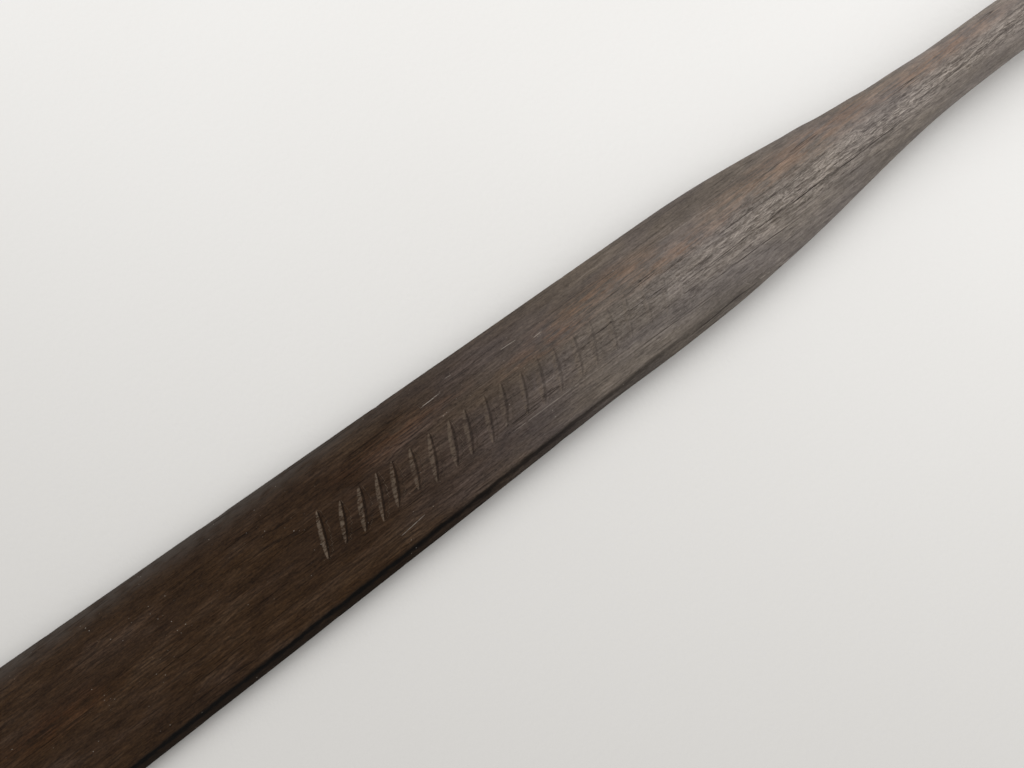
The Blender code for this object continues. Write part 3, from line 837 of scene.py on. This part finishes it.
# Where the worked edge stands out from the true curve: x, side, how far, and reach along x
SWELLS = (
    (1.880, 1.0, 0.0011, 0.300),
    (1.640, 1.0, 0.0009, 0.260),
    (1.380, 1.0, 0.0022, 0.100),
    (1.225, 1.0, 0.0018, 0.160),
    (1.024, 1.0, 0.0005, 0.050),
    (1.020, -1.0, 0.0009, 0.090),
    (1.085, -1.0, 0.0010, 0.036),
    (1.132, -1.0, 0.0004, 0.018),
    (1.187, -1.0, 0.0005, 0.020),
)


def swell_edges(points):
    """The edges as they were worked by hand, a little out of true."""
    x, y = points[..., 0], points[..., 1]
    share = unit(np.abs(y) / half_width(x)) ** 2 * np.sign(y)
    for centre, side, height, reach in SWELLS:
        points[..., 1] += height * stretch(x, centre, reach) * share * (share * side > 0)
    return points


DENTS = 60
DENTS_AT_EDGE = 0.4
DENT_LENGTH, DENT_WIDTH, DENT_DEPTH = (0.003, 0.014), (0.002, 0.005), (0.0001, 0.0005)


def dents_on(x, y, z, draw):
    """Depth of the knocks along the edges and faces."""
    depth = np.zeros_like(x)
    for _ in range(DENTS):
        centre = draw.uniform(-INBOARD, OUTBOARD - BAND_LENGTH)
        wide = float(half_width(np.array([centre]))[0])
        at_edge = draw.random() < DENTS_AT_EDGE
        across = draw.choice((-1.0, 1.0)) * (1.0 if at_edge else draw.uniform(0.1, 0.8)) * wide
        reach = (draw.uniform(*DENT_LENGTH), draw.uniform(*DENT_WIDTH))
        dent = spot(x, y, (centre, across), reach) * draw.uniform(*DENT_DEPTH)
        side = draw.choice((-1.0, 1.0))
        depth = np.maximum(depth, dent * (z * side > -0.002))
    return depth


# How wear with its painted sheen, and the painted shade on the bevels, grow along x: share, start, and run,
# negative towards the handle
WEAR_AND_SHEEN_GROW = ((0.5, 1.72, -0.32), (0.5, 1.60, -0.45))
BEVEL_SHADE_GROWS = ((0.45, 1.27, 0.12), (0.55, 1.35, 0.45))

# Where one side is greyer or darker: change, side, start and run across, and middle and reach along x
UNEVEN_WEAR = ((0.14, 1.0, 0.35, 0.3, 1.47, 0.20), (-0.26, -1.0, 0.25, 0.4, 1.32, 0.36))


def timber_marks(points):
    """The wear along the timber, and where light and shade are painted on it, as values on its points."""
    x, y, z = points[..., 0], points[..., 1], points[..., 2]
    top = (z > 0).astype(float)
    wide = half_width(x)
    across = y / wide
    # Wear towards the neck, which also carries the painted sheen there
    wear_and_sheen = sum(share * grown(x, start, run) for share, start, run in WEAR_AND_SHEEN_GROW)
    wear_and_sheen = wear_and_sheen * lerp(1.0, 0.72, grown(x, 0.95, -0.5))
    for change, side, start, run, middle, reach in UNEVEN_WEAR:
        wear_and_sheen = wear_and_sheen * (1 + change * grown(across * side, start, run) * stretch(x, middle, reach))
    bleached = stretch(x, 0.95, 0.26) * top
    warm = np.zeros_like(x)
    for px, py, reach_x, reach_y in WARM_PATCHES:
        warm = np.maximum(warm, spot(x, y, (px, py), (reach_x, reach_y)) * top)
    # Where glints are painted as highlights, beside the spine towards the neck
    beside_spine = np.exp(-((across - 0.16) / 0.36) ** 2)
    glint = beside_spine * grown(x, 1.50, -0.30) * grown(x, 0.60, 0.3)
    calm = (1 - beside_spine) * grown(x, 1.65, -0.2)
    # Painted shade on the bevels away from the key light and under the blade, growing towards the tip
    bevel_away = (np.abs(y) - wide + BEVEL_WIDTH) * 1000
    bevel_shade_here = sum(share * grown(x, start, run) for share, start, run in BEVEL_SHADE_GROWS)
    bevel_shade_here = bevel_shade_here * np.where((y > 0) | (z < 0), 1.0, 0.1)
    # A painted sheen along the upper edge, on the side that faces the key light
    lit_edge_sheen = np.exp(-((wide - np.abs(y)) / 0.012) ** 2) * (y < 0) * top * grown(x, 1.50, 0.25)
    grip = grown(x, GRIP_LENGTH + GRIP_SHOULDER - INBOARD, -GRIP_SHOULDER)
    marks = {"wear_and_sheen": wear_and_sheen, "warm": warm, "glint": glint, "calm": calm, "polish": grip}
    marks.update({"bevel_away": bevel_away, "bevel_shade_here": bevel_shade_here, "lit_edge_sheen": lit_edge_sheen, "bleached": bleached})
    wander = noise(points, (14.0, 1.0, 1.0), SEED + 40, 2) * 0.0009
    marks.update(line_marks("check", CHECKS, x, y, top, wander))
    marks.update(line_marks("scratch", SCRATCHES, x, y, top, wander * 0.3))
    return marks


FIBRE_HEIGHT = (0.00010, 0.00030)       # on stained and on grey wood
PLANED_HEIGHT = 0.00016
CHECK_DEPTH = 0.0008
CHECK_REACH = 1.3                       # mm to both sides
LEATHER_MARGIN = 0.005
COPPER_MARGIN = 0.002


def build_timber(material):
    """The wood, with raised fibres, plane marks, cuts, checks and dents; flush where something covers it."""
    draw = np.random.default_rng(SEED)
    points = TIMBER_RING.points(timber_stations())
    points = swell_edges(ease_arrises(points, TIMBER_RING, 3))
    x, y, z = points[..., 0], points[..., 1], points[..., 2]
    top = (z > 0).astype(float)
    marks = timber_marks(points)
    worn = unit(marks["wear_and_sheen"])

    fibre = noise(points, (9.0, 230.0, 230.0), SEED + 2, 2)
    torn = noise(points, (45.0, 300.0, 300.0), SEED + 5)
    planed = noise(points, (11.0, 26.0, 26.0), SEED + 8, 2)
    off_edge = smooth((half_width(x) - np.abs(y)) / 0.006) * blade_share(x) + 1 - blade_share(x)
    raised = lerp(*FIBRE_HEIGHT, worn) * (1 - 0.85 * marks["polish"]) * lerp(0.3, 1.0, off_edge)
    carved, cut_marks = carve_band(x, y, top, draw)
    checked = CHECK_DEPTH * marks["check_here"] * unit(1 - np.abs(marks["check_away"]) / CHECK_REACH)
    height = fibre * raised + torn * raised * 0.7 * worn + planed * PLANED_HEIGHT
    height = height - carved - checked - dents_on(x, y, z, draw)
    under_leather = (x > -SLEEVE_INBOARD - LEATHER_MARGIN) & (x < SLEEVE_OUTBOARD + LEATHER_MARGIN)
    under_copper = x > OUTBOARD - BAND_LENGTH - COPPER_MARGIN
    height = np.where(under_leather | under_copper, np.minimum(height, 0.0) * 0.3, height)
    points = points + ring_normals(points) * height[..., None]
    marks.update(cut_marks)
    return add_piece("timber", tube_arrays(points), material, ["oar_timber"], marks)


# The leather, dark and worn

SLEEVE_HIDE = (0.045, 0.020, 0.010), (0.095, 0.046, 0.024)
BUTTON_HIDE = (0.040, 0.017, 0.008), (0.085, 0.038, 0.019)


def rolled_edge(from_edge, round_over):
    """How far a cut edge has rounded off, at distances from it."""
    into = np.clip(round_over - from_edge, 0.0, round_over)
    return round_over - np.sqrt(round_over ** 2 - into ** 2)


def edge_rows(start, stop, count, round_over):
    """Places from start to stop, with extra ones close to both ends."""
    close = round_over * (1 - np.cos(np.linspace(0.0, np.pi / 2, 5)))
    between = np.linspace(start + round_over, stop - round_over, count)
    return np.concatenate([start + close[:-1], between, stop - close[-2::-1]])


def round_points(x, angle, radius):
    """Points about the oar's axis."""
    x, angle, radius = np.broadcast_arrays(x, angle, radius)
    return np.stack([x, radius * np.cos(angle), radius * np.sin(angle)], axis=-1)


def node_spots(*starts):
    """Places on the oar's own axes of the solids whose names start so."""
    names = sorted(name for name in frame["nodes"] if name.startswith(starts))
    middles = [LIFTED @ (sum(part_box(name), Vector()) / 2) for name in names]
    return names, np.array([tuple(middle) for middle in middles])


def tack_pressed(x, angle, radius, spots):
    """How near each point of the leather is to a tack, from 0 to 1."""
    near = np.zeros(np.broadcast(x, angle).shape)
    for sx, sy, sz in spots:
        turn = (angle - math.atan2(sz, sy) + math.pi) % math.tau - math.pi
        away = np.hypot(x - sx, turn * radius) / TACK_HEAD_RADIUS
        near = np.maximum(near, unit((2.1 - away) / 1.1))
    return near


def build_sleeve(material, spots):
    """The leather round the loom: butted at the seam, pressed in under the tacks and puckered between."""
    round_over = 0.0012
    seam = SEAM_GAP / SLEEVE_OUTER / 2
    first = math.pi / 2 + seam
    x = edge_rows(-SLEEVE_INBOARD, SLEEVE_OUTBOARD, 130, round_over)[:, None]
    angle = edge_rows(first, first + math.tau - 2 * seam, 130, round_over / SLEEVE_OUTER)[None, :]
    place = round_points(x, angle, SLEEVE_OUTER)
    from_seam = np.minimum(angle - angle[0, 0], angle[0, -1] - angle) * SLEEVE_OUTER
    from_end = np.minimum(x + SLEEVE_INBOARD, SLEEVE_OUTBOARD - x)
    pressed = tack_pressed(x, angle, SLEEVE_OUTER, spots)
    pucker = noise(place, (40.0, 60.0, 60.0), SEED + 20, 3) * 0.00022
    from_cut = np.minimum(from_seam, from_end)
    lift = 0.0003 * np.exp(-from_cut / 0.004) * noise(place, (60.0, 60.0, 60.0), SEED + 22)
    under_button = (x > -BUTTON_WIDTH - 0.002) & (x < 0.002)
    change = np.where(under_button, -0.0001, pucker + lift) - 0.0006 * pressed
    change = change - rolled_edge(from_seam, round_over) - rolled_edge(from_end, round_over)
    outer = round_points(x, angle, SLEEVE_OUTER + change)
    inner = round_points(x, angle, np.full_like(change, SLEEVE_INNER))
    rub = stretch(x, 0.11, 0.11) + 0.25 * smooth(noise(place, (30.0, 90.0, 90.0), SEED + 24))
    edge = np.exp(-from_cut / 0.0016)
    marks = {"rub": np.broadcast_to(rub, change.shape), "edge": np.broadcast_to(edge, change.shape)}
    return add_piece("sleeve", sheet_arrays(outer, inner), material, ["leather_sleeve"],
                     marks)


def strip_thickness(turn):
    pared = np.minimum(turn, math.tau * BUTTON_TURNS - turn) / BUTTON_SKIVE
    return lerp(SKIVED_LEATHER, BUTTON_LEATHER, unit(pared))


def strip_inner(turn):
    """Radius of the strip's inner face: on the sleeve for the first turn, then on the turn below."""
    radius = np.full_like(turn, BUTTON_INNER)
    for lap in range(1, BUTTON_TURNS):
        below = turn - math.tau * lap
        radius = radius + np.where(below >= 0, strip_thickness(np.maximum(below, 0.0)) + FIT_GAP, 0.0)
    return radius


def build_button(material, spots):
    """The strip of leather wound over the sleeve, its cut edges rounded and its laps not quite flush."""
    round_over = 0.0011
    turn = np.linspace(0.0, math.tau * BUTTON_TURNS, 96 * BUTTON_TURNS + 1)[None, :]
    share = edge_rows(-BUTTON_WIDTH, 0.0, 18, round_over)[:, None]
    place = round_points(share, turn, strip_inner(turn))
    from_edge = np.minimum(share + BUTTON_WIDTH, -share)
    last_lap = turn > math.tau * (BUTTON_TURNS - 1)
    pressed = tack_pressed(share, turn, float(strip_inner(turn).max()), spots) * last_lap
    thick = strip_thickness(turn)
    pucker = noise(place, (60.0, 50.0, 50.0), SEED + 30, 3) * 0.00020 * last_lap
    rolled = rolled_edge(from_edge, round_over) * np.clip(thick / BUTTON_LEATHER, 0.3, 1.0)
    outer = round_points(share, turn, strip_inner(turn) + thick + pucker - rolled - 0.0005 * pressed)
    inner = round_points(share, turn, strip_inner(turn) + rolled * 0.5)
    rub = np.broadcast_to(0.25 + 0.75 * smooth(noise(place, (40.0, 40.0, 40.0), SEED + 33)), pucker.shape)
    edge = np.broadcast_to(np.exp(-from_edge / 0.0010), pucker.shape)
    return add_piece("button", sheet_arrays(outer, inner), material, ["button_strip"],
                     {"rub": rub, "edge": edge})


# The copper

# Bright and brown copper, and the share of verdigris
SHEET_COPPER = (0.52, 0.26, 0.16), (0.150, 0.078, 0.052), 0.12
TACK_COPPER = (0.60, 0.33, 0.20), (0.24, 0.120, 0.070), 0.06
NAIL_COPPER = (0.54, 0.28, 0.17), (0.20, 0.100, 0.062), 0.08
BAND_RING = Ring(quarter_steps(3, 8, 26), quarter_steps(3, 8, 26))


def build_band(material, spots):
    """The copper sheet over the tip: beaten to the wood, its end rounded over and its edge not quite true."""
    start, end, fold = OUTBOARD - BAND_LENGTH, OUTBOARD + BAND_OUTER, 0.0022
    turns = np.linspace(0.0, np.pi / 2, 9)
    corner = TIP_CORNER + BAND_OUTER
    side_x = end - corner + corner * np.sin(turns)
    x = np.concatenate([np.linspace(start, side_x[0], 22)[:-1], side_x])
    outer = ease_arrises(BAND_RING.points(x, BAND_OUTER), BAND_RING, 2)
    tight = unit((outer[..., 0] - (end - fold)) / fold)
    inset = fold * (1 - np.sqrt(1 - tight ** 2))
    for axis in (1, 2):
        outer[..., axis] = np.sign(outer[..., axis]) * np.maximum(np.abs(outer[..., axis]) - inset, 0.0004)
    place = outer.copy()
    beaten = noise(place, (90.0, 90.0, 90.0), SEED + 50, 2) * 0.00022
    near = np.zeros(beaten.shape)
    for sx, sy, sz in spots:
        away = np.hypot(place[..., 0] - sx, place[..., 1] - sy) / NAIL_HEAD_RADIUS
        near = np.maximum(near, unit((2.2 - away) / 1.2) * (place[..., 2] * sz > 0))
    outer = outer + ring_normals(place) * (beaten - 0.00025 * near - 0.00015)[..., None]
    outer[0, :, 0] += noise(place[0], (1.0, 70.0, 70.0), SEED + 53) * 0.0006
    lip = BAND_RING.points(np.full(2, start), FIT_GAP)
    lip[0, :, 0] = outer[0, :, 0]
    lip[1, :, 0] = outer[0, :, 0] + 0.004
    points = np.concatenate([lip[::-1], outer])
    cornered = np.maximum(near, np.exp(-(place[..., 0] - start) / 0.004))
    nook = np.concatenate([np.ones(lip.shape[:2]), cornered])
    rubbed = tight + np.exp(-((BAND_RING.step - RIM_STEP) / 0.6) ** 2)
    rub = np.concatenate([np.zeros(lip.shape[:2]), rubbed])
    return add_piece("tip_copper", tube_arrays(points, cap_start=False), material,
                     ["tip_band"], {"nook": nook, "rub": rub}, sharp=math.radians(70))


def head_arrays(radius, height, shank, draw):
    """One beaten domed head on z = 0, with the start of its shank, a little out of round and out of true."""
    segments = 18
    angle = np.linspace(0.0, math.tau, segments, endpoint=False)
    rise = np.linspace(0.0, np.pi / 2, 7)[1:]
    profile = [(shank, -0.002), (shank, 0.0), (radius * 0.97, 0.0), (radius, height * 0.16)]
    for turn in rise[:-1]:
        profile.append((radius * math.cos(turn) ** 0.9, height * lerp(0.30, 1.0, math.sin(turn))))
    rings = np.array([[(r * math.cos(a), r * math.sin(a), h) for a in angle] for r, h in profile])
    knock = draw.uniform(-1.0, 1.0, 2)
    knocked = draw.random() * spot(rings[..., 0], rings[..., 1], knock * radius * 0.6, (radius, radius))
    flat = 1 - 0.10 * knocked
    rings[..., 2] *= np.where(rings[..., 2] > 0, flat, 1.0)
    rings[..., :2] *= 1 + 0.035 * np.sin(2 * angle + draw.uniform(0, math.tau))[None, :, None]
    return tube_arrays(rings, cap_start=False)


def build_heads(name, material, names, spots, sizes, seats, outward):
    """Fastener heads at the places of these solids, each turned outward on its seat."""
    draw = np.random.default_rng(SEED + len(name))
    heads, nook = [], []
    for middle, seat in zip(spots, seats):
        verts, faces = head_arrays(*sizes, draw)
        out = outward(middle)
        along = np.array((1.0, 0.0, 0.0))
        side = np.cross(out, along)
        low = unit(1 - verts[:, 2] / (sizes[1] * 0.5))
        foot = np.array((middle[0], *(out[1:] * seat[0] + seat[1])))
        heads.append((foot + verts[:, :1] * along + verts[:, 1:2] * side + verts[:, 2:] * out, faces))
        nook.append(low)
    nook = np.concatenate(nook)
    return add_piece(name, joined(heads), material, names, {"nook": nook, "rub": 1 - nook})


def from_axis(middle):
    out = np.array((0.0, middle[1], middle[2]))
    return out / np.linalg.norm(out)


def from_blade(middle):
    return np.array((0.0, 0.0, np.sign(middle[2])))


# The stage

def add_floor():
    mesh = bpy.data.meshes.new("floor")
    reach = FLOOR_REACH
    corners = [(-reach, -reach, 0.0), (reach, -reach, 0.0), (reach, reach, 0.0), (-reach, reach, 0.0)]
    mesh.from_pydata(corners, [], [(0, 1, 2, 3)])
    mesh.materials.append(floor_finish())
    floor = add_object("floor", mesh)
    floor.location = (0.0, 0.0, -FLOOR_DROP)


def add_camera():
    """Looks down on the blade, with the tip to the picture's lower left."""
    right = Vector((-math.cos(CAMERA_ROLL), math.sin(CAMERA_ROLL), 0.0))
    level_up = Vector((-math.sin(CAMERA_ROLL), -math.cos(CAMERA_ROLL), 0.0))
    overhead = Vector((0.0, 0.0, 1.0))
    back = overhead * math.cos(CAMERA_TILT) - level_up * math.sin(CAMERA_TILT)
    up = level_up * math.cos(CAMERA_TILT) + overhead * math.sin(CAMERA_TILT)
    data = bpy.data.cameras.new("camera")
    data.lens = CAMERA_LENS
    data.clip_start = CAMERA_NEAR
    camera = add_object("camera", data)
    place = Vector(CAMERA_AIM) + back * CAMERA_DISTANCE
    camera.matrix_world = Matrix.Translation(place) @ Matrix((right, up, back)).transposed().to_4x4()
    bpy.context.scene.camera = camera


def add_light():
    """A soft sky, brightest overhead, and a broad key from the upper left, before a pale backdrop."""
    world = bpy.data.worlds.new("studio")
    bpy.context.scene.world = world
    world.use_nodes = True
    nodes, links = world.node_tree.nodes, world.node_tree.links
    direction = nodes.new("ShaderNodeTexCoord").outputs["Generated"]
    height = nodes.new("ShaderNodeSeparateXYZ")
    links.new(direction, height.inputs[0])
    level = nodes.new("ShaderNodeMapRange")
    level.inputs["To Min"].default_value = HORIZON_LIGHT
    level.inputs["To Max"].default_value = ZENITH_LIGHT
    links.new(height.outputs["Z"], level.inputs["Value"])
    rays = nodes.new("ShaderNodeLightPath").outputs
    seen = rays["Is Camera Ray"]
    for kind in ("Is Glossy Ray", "Is Transmission Ray"):
        either = nodes.new("ShaderNodeMath")
        either.operation = "MAXIMUM"
        links.new(seen, either.inputs[0])
        links.new(rays[kind], either.inputs[1])
        seen = either.outputs["Value"]
    strength = nodes.new("ShaderNodeMix")
    links.new(seen, strength.inputs["Factor"])
    links.new(level.outputs["Result"], strength.inputs["A"])
    strength.inputs["B"].default_value = BACKDROP_LIGHT
    links.new(strength.outputs["Result"], nodes["Background"].inputs["Strength"])
    nodes["Background"].inputs["Color"].default_value = SKY_COLOUR
    key = bpy.data.lights.new("key", "SUN")
    key.energy = KEY_STRENGTH
    key.angle = KEY_SOFTNESS
    lamp = add_object("key", key)
    lamp.location = KEY_FROM
    lamp.rotation_euler = (-Vector(KEY_FROM)).to_track_quat("-Z", "Y").to_euler()


def main():
    add_camera()
    add_light()
    add_floor()
    build_timber(wood_finish())

    sleeve_tacks, sleeve_spots = node_spots("seam_tack", "inboard_tack", "outboard_tack")
    button_tacks, button_spots = node_spots("button_tack")
    nails, nail_spots = node_spots("tip_nail")
    build_sleeve(leather_finish("sleeve_leather_finish", *SLEEVE_HIDE), sleeve_spots)
    build_button(leather_finish("button_leather_finish", *BUTTON_HIDE), button_spots)
    build_band(copper_finish("sheet_copper_finish", *SHEET_COPPER), nail_spots)

    tack = (TACK_HEAD_RADIUS, TACK_HEAD_HEIGHT, TACK_SHANK_RADIUS)
    nail = (NAIL_HEAD_RADIUS, NAIL_HEAD_HEIGHT, NAIL_SHANK_RADIUS)
    tack_metal = copper_finish("tack_copper_finish", *TACK_COPPER)
    nail_metal = copper_finish("nail_copper_finish", *NAIL_COPPER)
    sleeve_seat = SLEEVE_OUTER + FIT_GAP
    build_heads("sleeve_tacks", tack_metal, sleeve_tacks, sleeve_spots, tack,
                [(sleeve_seat, 0.0)] * len(sleeve_tacks), from_axis)
    angles = np.arctan2(button_spots[:, 2], button_spots[:, 1]) % math.tau
    last_turn = angles + math.tau * (BUTTON_TURNS - 1)
    button_seats = strip_inner(last_turn) + strip_thickness(last_turn) + FIT_GAP
    build_heads("button_tacks", tack_metal, button_tacks, button_spots, tack,
                [(seat, 0.0) for seat in button_seats], from_axis)
    nail_x, nail_y = nail_spots[:, 0], nail_spots[:, 1]
    nail_seats = face_height(nail_x, nail_y / half_width(nail_x)) + BAND_OUTER + FIT_GAP
    build_heads("tip_nails", nail_metal, nails, nail_spots, nail,
                [(seat, np.array((y, 0.0))) for seat, y in zip(nail_seats, nail_y)], from_blade)

    bpy.context.scene.view_settings.view_transform = "Standard"


main()
